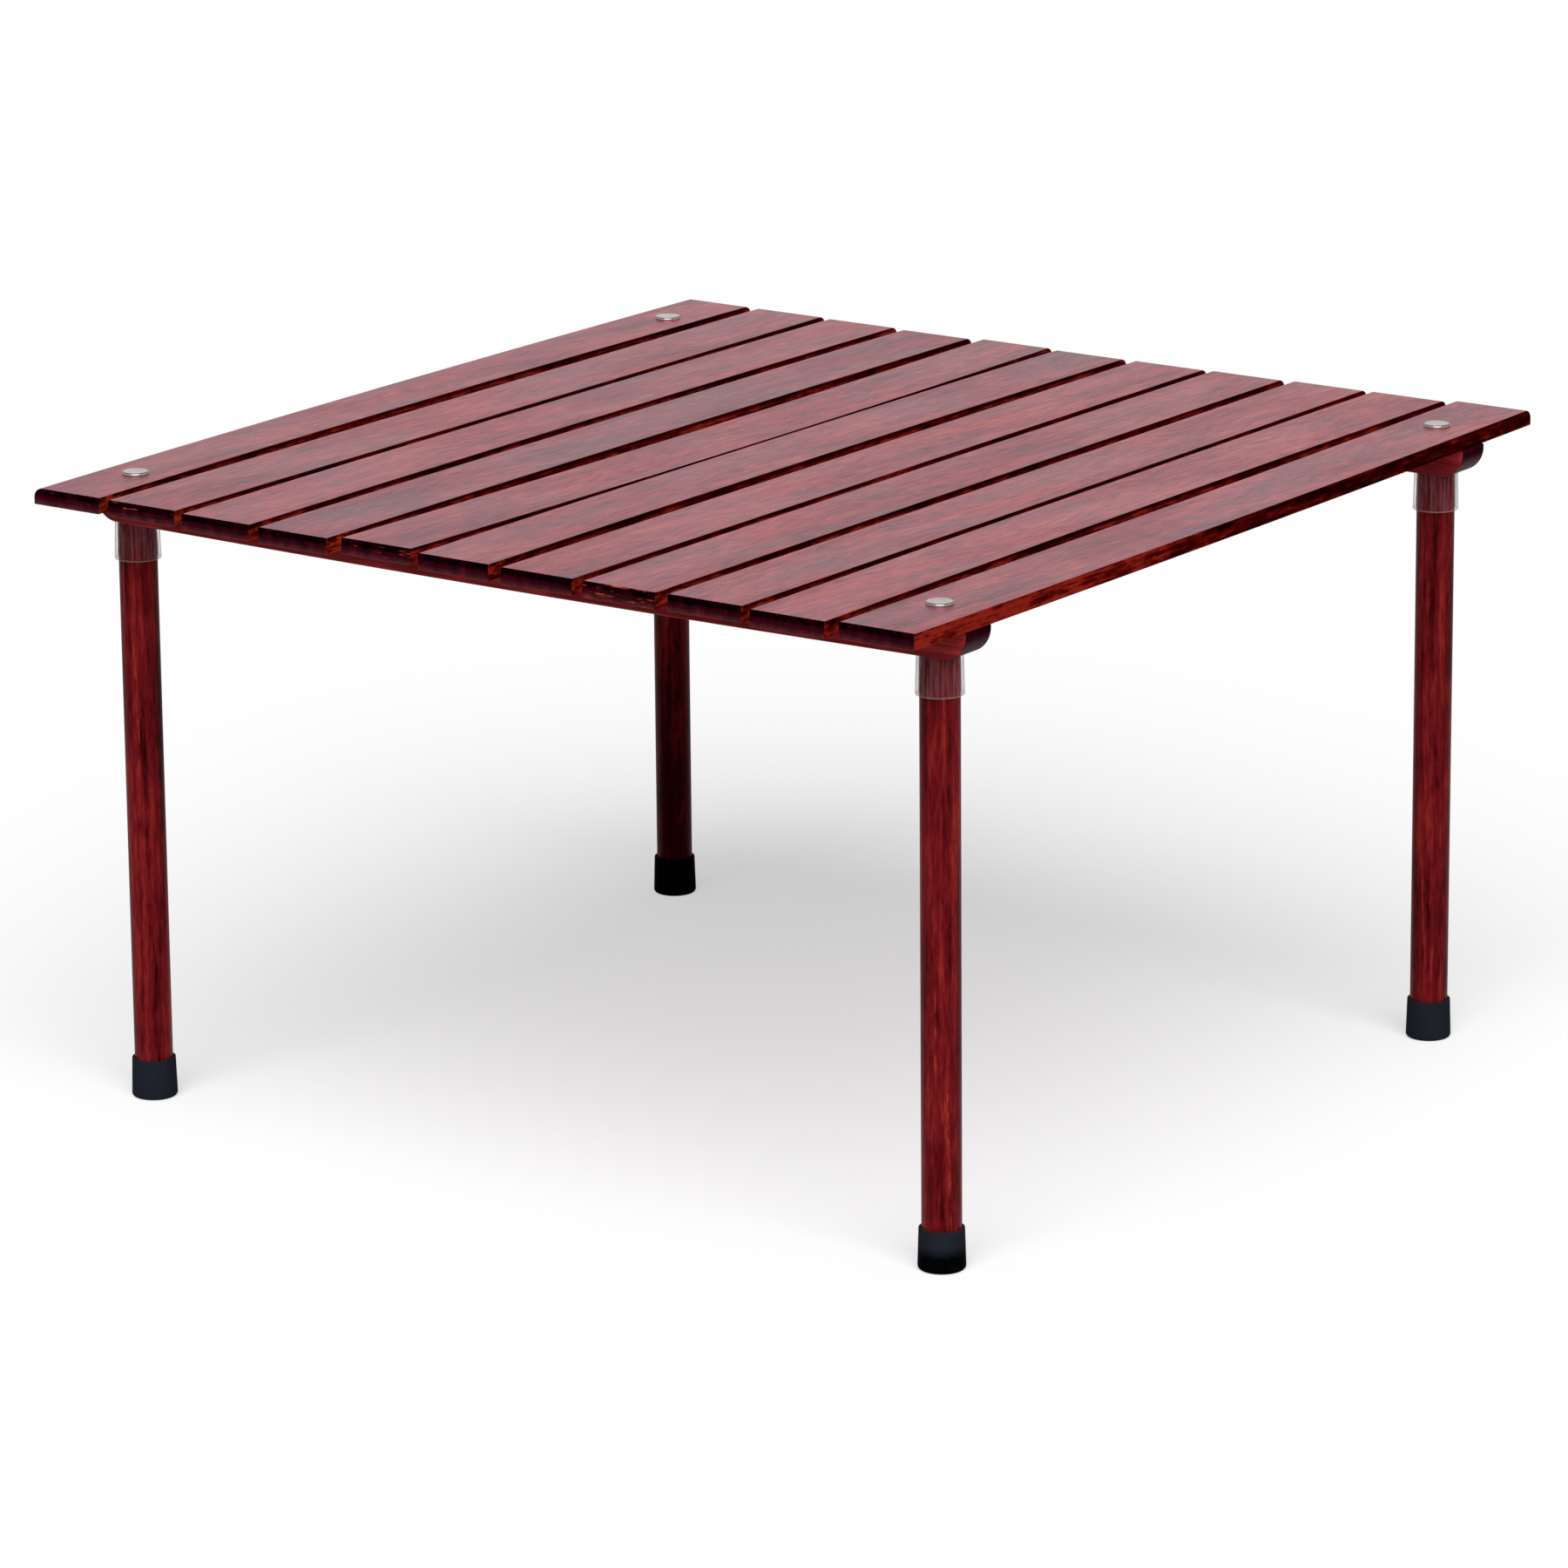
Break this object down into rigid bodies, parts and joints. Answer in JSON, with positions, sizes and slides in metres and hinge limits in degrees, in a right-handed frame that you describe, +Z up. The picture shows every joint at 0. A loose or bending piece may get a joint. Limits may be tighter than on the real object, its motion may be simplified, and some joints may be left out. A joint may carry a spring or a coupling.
{
  "type": "roll top camp table",
  "caption": "Low camp table with a rollable slatted wooden top on cross rails and screw-in round legs with rubber feet.",
  "frame": {"origin": "on the floor under the middle of the top", "axes": "+X along the slats, +Y across them towards the first slat, +Z up"},
  "size_m": [0.712, 0.684, 0.419],
  "materials": {
    "stained_slat": "dark red stain under satin lacquer",
    "stained_rail": "dark red stain under satin lacquer",
    "stained_dowel": "dark red stain under gloss lacquer",
    "webbing": "woven nylon",
    "staple_wire": "galvanised",
    "polished_steel": "polished nickel plate",
    "stud_steel": "zinc plate",
    "clear_sleeve": "clear flexible tube",
    "foot_rubber": "matt moulded rubber"
  },
  "bodies": {
    "top_06": {"slat_06": "stained_slat", "strap_06": "webbing", "staples_06": "staple_wire"},
    "top_05": {"slat_05": "stained_slat", "strap_05": "webbing", "staples_05": "staple_wire"},
    "top_04": {"slat_04": "stained_slat", "strap_04": "webbing", "staples_04": "staple_wire"},
    "top_03": {"slat_03": "stained_slat", "strap_03": "webbing", "staples_03": "staple_wire"},
    "top_02": {"slat_02": "stained_slat", "strap_02": "webbing", "staples_02": "staple_wire"},
    "top_01": {"slat_01": "stained_slat", "strap_01": "webbing", "staples_01": "staple_wire", "cap_nut_1": "polished_steel", "cap_nut_2": "polished_steel"},
    "top_07": {"slat_07": "stained_slat", "strap_07": "webbing", "staples_07": "staple_wire"},
    "top_08": {"slat_08": "stained_slat", "strap_08": "webbing", "staples_08": "staple_wire"},
    "top_09": {"slat_09": "stained_slat", "strap_09": "webbing", "staples_09": "staple_wire"},
    "top_10": {"slat_10": "stained_slat", "strap_10": "webbing", "staples_10": "staple_wire"},
    "top_11": {"slat_11": "stained_slat", "strap_11": "webbing", "staples_11": "staple_wire", "cap_nut_3": "polished_steel", "cap_nut_4": "polished_steel"},
    "rail_1": {"cross_rail_1": "stained_rail"},
    "rail_2": {"cross_rail_2": "stained_rail"},
    "sleeve_1": {"leg_sleeve_1": "clear_sleeve"},
    "screw_leg_1": {"leg_1": "stained_dowel", "leg_stud_1": "stud_steel", "leg_foot_1": "foot_rubber"},
    "sleeve_2": {"leg_sleeve_2": "clear_sleeve"},
    "screw_leg_2": {"leg_2": "stained_dowel", "leg_stud_2": "stud_steel", "leg_foot_2": "foot_rubber"},
    "sleeve_3": {"leg_sleeve_3": "clear_sleeve"},
    "screw_leg_3": {"leg_3": "stained_dowel", "leg_stud_3": "stud_steel", "leg_foot_3": "foot_rubber"},
    "sleeve_4": {"leg_sleeve_4": "clear_sleeve"},
    "screw_leg_4": {"leg_4": "stained_dowel", "leg_stud_4": "stud_steel", "leg_foot_4": "foot_rubber"}
  },
  "joints": [
    {"name": "roll_07", "type": "hinge", "parent": "top_06", "child": "top_07", "pos_m": [0, -0.0315, 0.4065], "axis": [-1, 0, 0], "range_deg": [0, 30]},
    {"name": "roll_08", "type": "hinge", "parent": "top_07", "child": "top_08", "pos_m": [0, -0.0945, 0.4065], "axis": [-1, 0, 0], "range_deg": [0, 30]},
    {"name": "roll_09", "type": "hinge", "parent": "top_08", "child": "top_09", "pos_m": [0, -0.1575, 0.4065], "axis": [-1, 0, 0], "range_deg": [0, 30]},
    {"name": "roll_10", "type": "hinge", "parent": "top_09", "child": "top_10", "pos_m": [0, -0.2205, 0.4065], "axis": [-1, 0, 0], "range_deg": [0, 30]},
    {"name": "roll_11", "type": "hinge", "parent": "top_10", "child": "top_11", "pos_m": [0, -0.2835, 0.4065], "axis": [-1, 0, 0], "range_deg": [0, 30]},
    {"name": "roll_05", "type": "hinge", "parent": "top_06", "child": "top_05", "pos_m": [0, 0.0315, 0.4065], "axis": [1, 0, 0], "range_deg": [0, 12]},
    {"name": "roll_04", "type": "hinge", "parent": "top_05", "child": "top_04", "pos_m": [0, 0.0945, 0.4065], "axis": [1, 0, 0], "range_deg": [0, 30]},
    {"name": "roll_03", "type": "hinge", "parent": "top_04", "child": "top_03", "pos_m": [0, 0.1575, 0.4065], "axis": [1, 0, 0], "range_deg": [0, 30]},
    {"name": "roll_02", "type": "hinge", "parent": "top_03", "child": "top_02", "pos_m": [0, 0.2205, 0.4065], "axis": [1, 0, 0], "range_deg": [0, 30]},
    {"name": "roll_01", "type": "hinge", "parent": "top_02", "child": "top_01", "pos_m": [0, 0.2835, 0.4065], "axis": [1, 0, 0], "range_deg": [0, 30]},
    {"name": "rail_1_lift_off", "type": "slide", "parent": "top_06", "child": "rail_1", "axis": [0, 0, -1], "range_m": [0, 0.06]},
    {"name": "rail_2_lift_off", "type": "slide", "parent": "top_06", "child": "rail_2", "axis": [0, 0, -1], "range_m": [0, 0.06]},
    {"name": "leg_1_drop", "type": "slide", "parent": "rail_1", "child": "sleeve_1", "axis": [0, 0, -1], "range_m": [0, 0.0081]},
    {"name": "leg_1_turn", "type": "hinge", "parent": "sleeve_1", "child": "screw_leg_1", "pos_m": [-0.286, 0.312, 0.2], "axis": [0, 0, -1], "range_deg": [0, 2880]},
    {"name": "leg_2_drop", "type": "slide", "parent": "rail_2", "child": "sleeve_2", "axis": [0, 0, -1], "range_m": [0, 0.0081]},
    {"name": "leg_2_turn", "type": "hinge", "parent": "sleeve_2", "child": "screw_leg_2", "pos_m": [0.29, 0.312, 0.2], "axis": [0, 0, -1], "range_deg": [0, 2880]},
    {"name": "leg_3_drop", "type": "slide", "parent": "rail_2", "child": "sleeve_3", "axis": [0, 0, -1], "range_m": [0, 0.0081]},
    {"name": "leg_3_turn", "type": "hinge", "parent": "sleeve_3", "child": "screw_leg_3", "pos_m": [0.29, -0.312, 0.2], "axis": [0, 0, -1], "range_deg": [0, 2880]},
    {"name": "leg_4_drop", "type": "slide", "parent": "rail_1", "child": "sleeve_4", "axis": [0, 0, -1], "range_m": [0, 0.0081]},
    {"name": "leg_4_turn", "type": "hinge", "parent": "sleeve_4", "child": "screw_leg_4", "pos_m": [-0.286, -0.312, 0.2], "axis": [0, 0, -1], "range_deg": [0, 2880]}
  ],
  "couplings": [
    {"joint": "roll_08", "follows": "roll_07", "ratio": 1},
    {"joint": "roll_09", "follows": "roll_07", "ratio": 1},
    {"joint": "roll_10", "follows": "roll_07", "ratio": 1},
    {"joint": "roll_11", "follows": "roll_07", "ratio": 1},
    {"joint": "roll_05", "follows": "roll_07", "ratio": 0.4},
    {"joint": "roll_04", "follows": "roll_07", "ratio": 1},
    {"joint": "roll_03", "follows": "roll_07", "ratio": 1},
    {"joint": "roll_02", "follows": "roll_07", "ratio": 1},
    {"joint": "roll_01", "follows": "roll_07", "ratio": 1},
    {"joint": "leg_1_drop", "follows": "leg_1_turn", "m_per_rad": 0.00015915},
    {"joint": "leg_2_drop", "follows": "leg_2_turn", "m_per_rad": 0.00015915},
    {"joint": "leg_3_drop", "follows": "leg_3_turn", "m_per_rad": 0.00015915},
    {"joint": "leg_4_drop", "follows": "leg_4_turn", "m_per_rad": 0.00015915}
  ]
}
